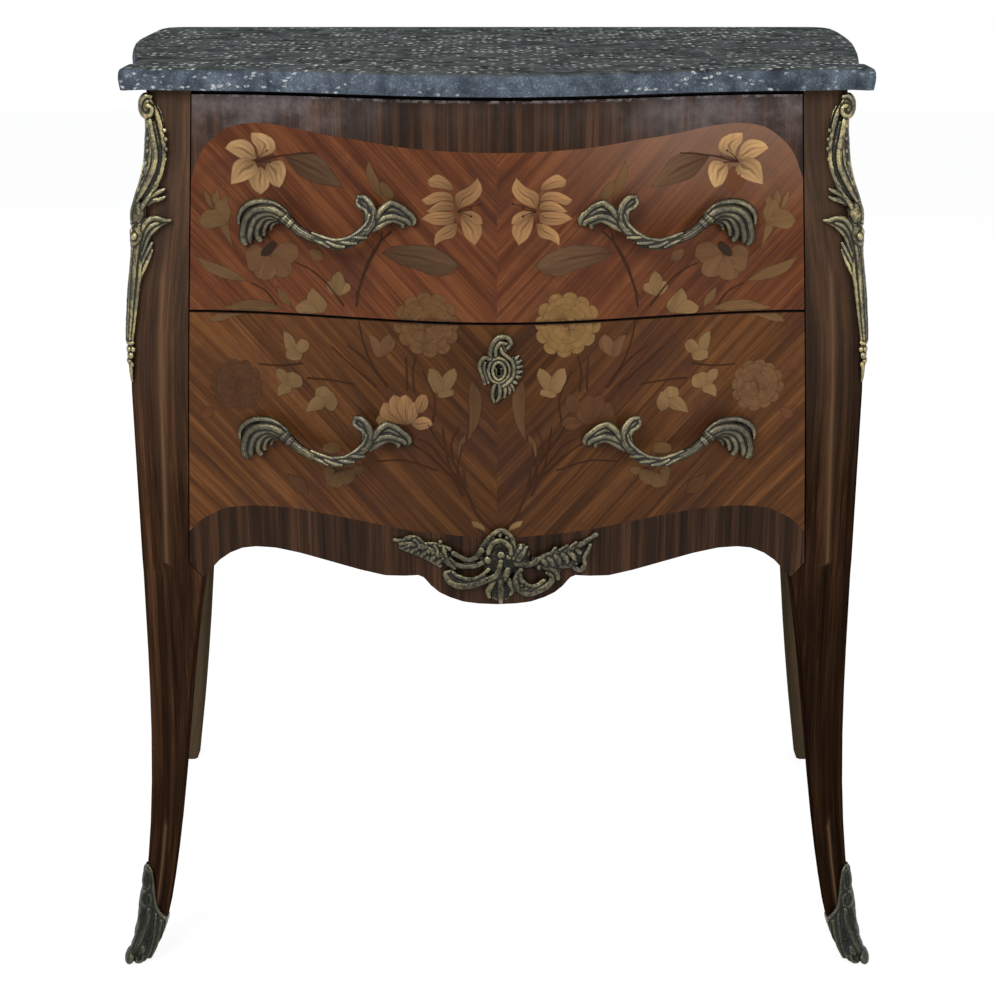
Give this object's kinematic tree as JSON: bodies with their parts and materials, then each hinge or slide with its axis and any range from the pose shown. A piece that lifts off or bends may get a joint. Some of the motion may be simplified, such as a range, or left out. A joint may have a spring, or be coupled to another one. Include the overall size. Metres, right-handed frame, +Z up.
{
  "type": "commode chest",
  "caption": "Small serpentine commode on cabriole legs, with full-width drawers one above the other, a marble top and cast brass mounts.",
  "frame": {"origin": "on the floor, under the middle of the marble's depth and of the width", "axes": "+X right as seen from the front, the front faces -Y, +Z up"},
  "size_m": [0.7014, 0.4593, 0.8],
  "materials": {
    "marble": "satin",
    "veneer": "satin",
    "dark_veneer": "satin",
    "plain_wood": "matte",
    "brass": "satin",
    "steel": "satin"
  },
  "bodies": {
    "carcass": {"marble_top": "marble", "front_left_leg": "dark_veneer", "front_right_leg": "dark_veneer", "rear_left_leg": "dark_veneer", "rear_right_leg": "dark_veneer", "left_side_panel": "dark_veneer", "right_side_panel": "dark_veneer", "back_panel": "plain_wood", "top_front_rail": "plain_wood", "middle_front_rail": "plain_wood", "low_front_rail": "plain_wood", "top_back_rail": "plain_wood", "middle_back_rail": "plain_wood", "low_back_rail": "plain_wood", "left_kicker": "plain_wood", "right_kicker": "plain_wood", "left_middle_runner": "plain_wood", "right_middle_runner": "plain_wood", "left_low_runner": "plain_wood", "right_low_runner": "plain_wood", "dust_board": "plain_wood", "left_corner_mount": "brass", "right_corner_mount": "brass", "left_shoe": "brass", "right_shoe": "brass"},
    "upper_drawer": {"upper_drawer_front": "veneer", "upper_drawer_left_side": "plain_wood", "upper_drawer_right_side": "plain_wood", "upper_drawer_back": "plain_wood", "upper_drawer_bottom": "plain_wood", "upper_left_handle": "brass", "upper_right_handle": "brass", "upper_left_inner_nut": "brass", "upper_left_outer_nut": "brass", "upper_right_inner_nut": "brass", "upper_right_outer_nut": "brass"},
    "lower_drawer": {"lower_drawer_front": "veneer", "lower_drawer_left_side": "plain_wood", "lower_drawer_right_side": "plain_wood", "lower_drawer_back": "plain_wood", "lower_drawer_bottom": "plain_wood", "lower_left_handle": "brass", "lower_right_handle": "brass", "lower_left_inner_nut": "brass", "lower_left_outer_nut": "brass", "lower_right_inner_nut": "brass", "lower_right_outer_nut": "brass", "keyhole_plate": "brass", "apron_mount": "brass", "lock_case": "steel"},
    "lock_bolt": {"lock_bolt": "steel"}
  },
  "joints": [
    {"name": "upper_drawer_slide", "type": "slide", "parent": "carcass", "child": "upper_drawer", "axis": [0, -1, 0], "range_m": [0, 0.26]},
    {"name": "lower_drawer_slide", "type": "slide", "parent": "carcass", "child": "lower_drawer", "axis": [0, -1, 0], "range_m": [0, 0.26]},
    {"name": "lock_bolt_slide", "type": "slide", "parent": "lower_drawer", "child": "lock_bolt", "axis": [0, 0, 1], "range_m": [0, 0.008]}
  ]
}
